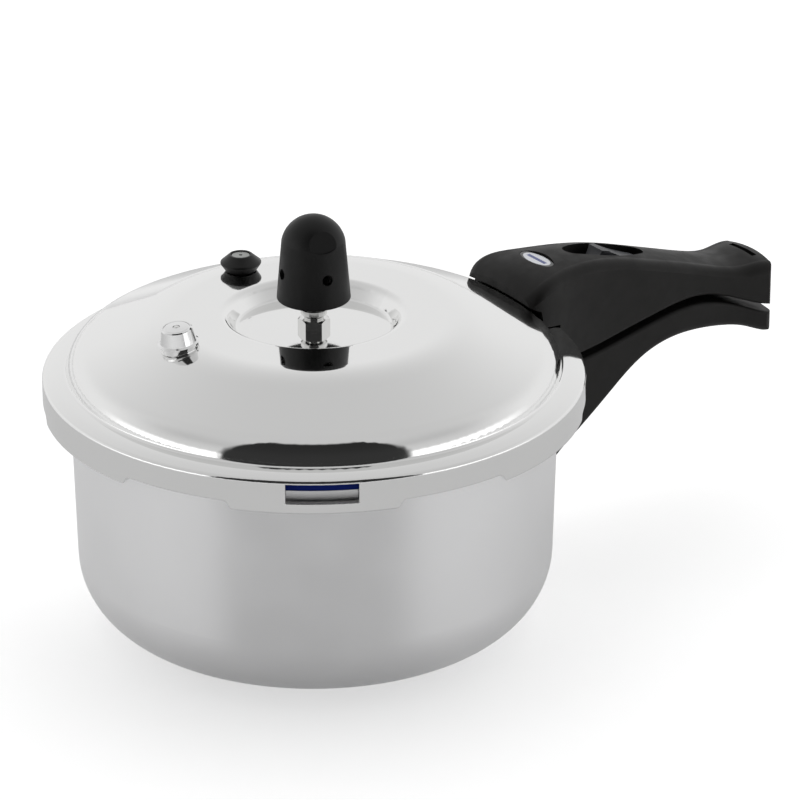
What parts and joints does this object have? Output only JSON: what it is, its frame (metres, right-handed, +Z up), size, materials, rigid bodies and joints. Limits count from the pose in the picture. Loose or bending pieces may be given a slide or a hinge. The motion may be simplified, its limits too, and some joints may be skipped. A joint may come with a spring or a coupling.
{
  "type": "stovetop pressure cooker",
  "caption": "Aluminium stovetop pressure cooker with a bayonet lid, a weight regulator on a vent pipe, a relief valve, a rubber safety plug and twin long handles with a sliding lock.",
  "frame": {"origin": "centre of the pot's flat base, on the surface it stands on", "axes": "+Z up along the pot's axis, +X along the long handles away from the pot, +Y to the left of the handles seen from the pot"},
  "size_m": [0.3765, 0.2464, 0.1948],
  "materials": {
    "satin_aluminium": "spun aluminium with a fine satin finish",
    "polished_aluminium": "aluminium polished to a mirror",
    "steel_sheet": "zinc-plated steel sheet",
    "aluminium_rivet": "plain aluminium",
    "black_bakelite": "matte black phenolic with a fine moulded grain",
    "steel_screw": "zinc-plated steel",
    "badge_enamel": "silver-white enamelled plate",
    "blue_silicone": "dark blue silicone",
    "bright_steel": "bright nickel-plated steel",
    "black_rubber": "black rubber",
    "black_phenolic": "semi-matte black phenolic",
    "weight_steel": "turned steel, blackened",
    "chrome_fitting": "polished chrome plate",
    "grey_metal": "plain aluminium",
    "slider_plastic": "dark grey ribbed plastic"
  },
  "bodies": {
    "pot": {"pot_body": "satin_aluminium", "lower_handle_bracket": "steel_sheet", "bracket_rivets": "aluminium_rivet", "lock_catch": "steel_sheet", "lower_handle": "black_bakelite", "lower_handle_screw": "steel_screw"},
    "lid": {"lid_shell": "polished_aluminium", "lid_gasket": "blue_silicone", "upper_handle": "black_bakelite", "upper_handle_bracket": "steel_sheet", "upper_handle_screws": "steel_screw", "handle_badge": "badge_enamel", "vent_pipe": "bright_steel", "vent_nut": "bright_steel", "vent_seal": "black_rubber", "vent_inner_nut": "bright_steel", "vent_strainer": "bright_steel", "relief_valve_body": "chrome_fitting", "relief_valve_cap": "chrome_fitting", "relief_valve_seal": "black_rubber", "relief_valve_nut": "bright_steel", "relief_spring": "bright_steel", "safety_plug": "black_rubber"},
    "regulator": {"regulator_cap": "black_phenolic", "regulator_core": "weight_steel", "regulator_needle": "weight_steel"},
    "relief_valve": {"relief_poppet": "bright_steel"},
    "indicator": {"indicator_pin": "grey_metal"},
    "lock": {"lock_slider": "slider_plastic", "lock_bolt": "steel_sheet", "slider_screw": "steel_screw"}
  },
  "joints": [
    {"name": "lid_turn", "type": "hinge", "parent": "pot", "child": "lid", "pos_m": [0, 0, 0.11], "axis": [0, 0, 1], "range_deg": [0, 30]},
    {"name": "regulator_lift", "type": "slide", "parent": "lid", "child": "regulator", "axis": [0, 0, 1], "range_m": [0, 0.03]},
    {"name": "relief_lift", "type": "slide", "parent": "lid", "child": "relief_valve", "axis": [-0.1217, 0.0064, 0.9925], "range_m": [0, 0.0022], "stiffness_N_per_m": 800, "springref_m": -0.003, "deforming": ["relief_spring"]},
    {"name": "indicator_rise", "type": "slide", "parent": "lid", "child": "indicator", "axis": [0.0002, 0.0175, 0.9998], "range_m": [0, 0.0028]},
    {"name": "lock_slide", "type": "slide", "parent": "lid", "child": "lock", "axis": [-1, 0, 0], "range_m": [0, 0.009]}
  ]
}
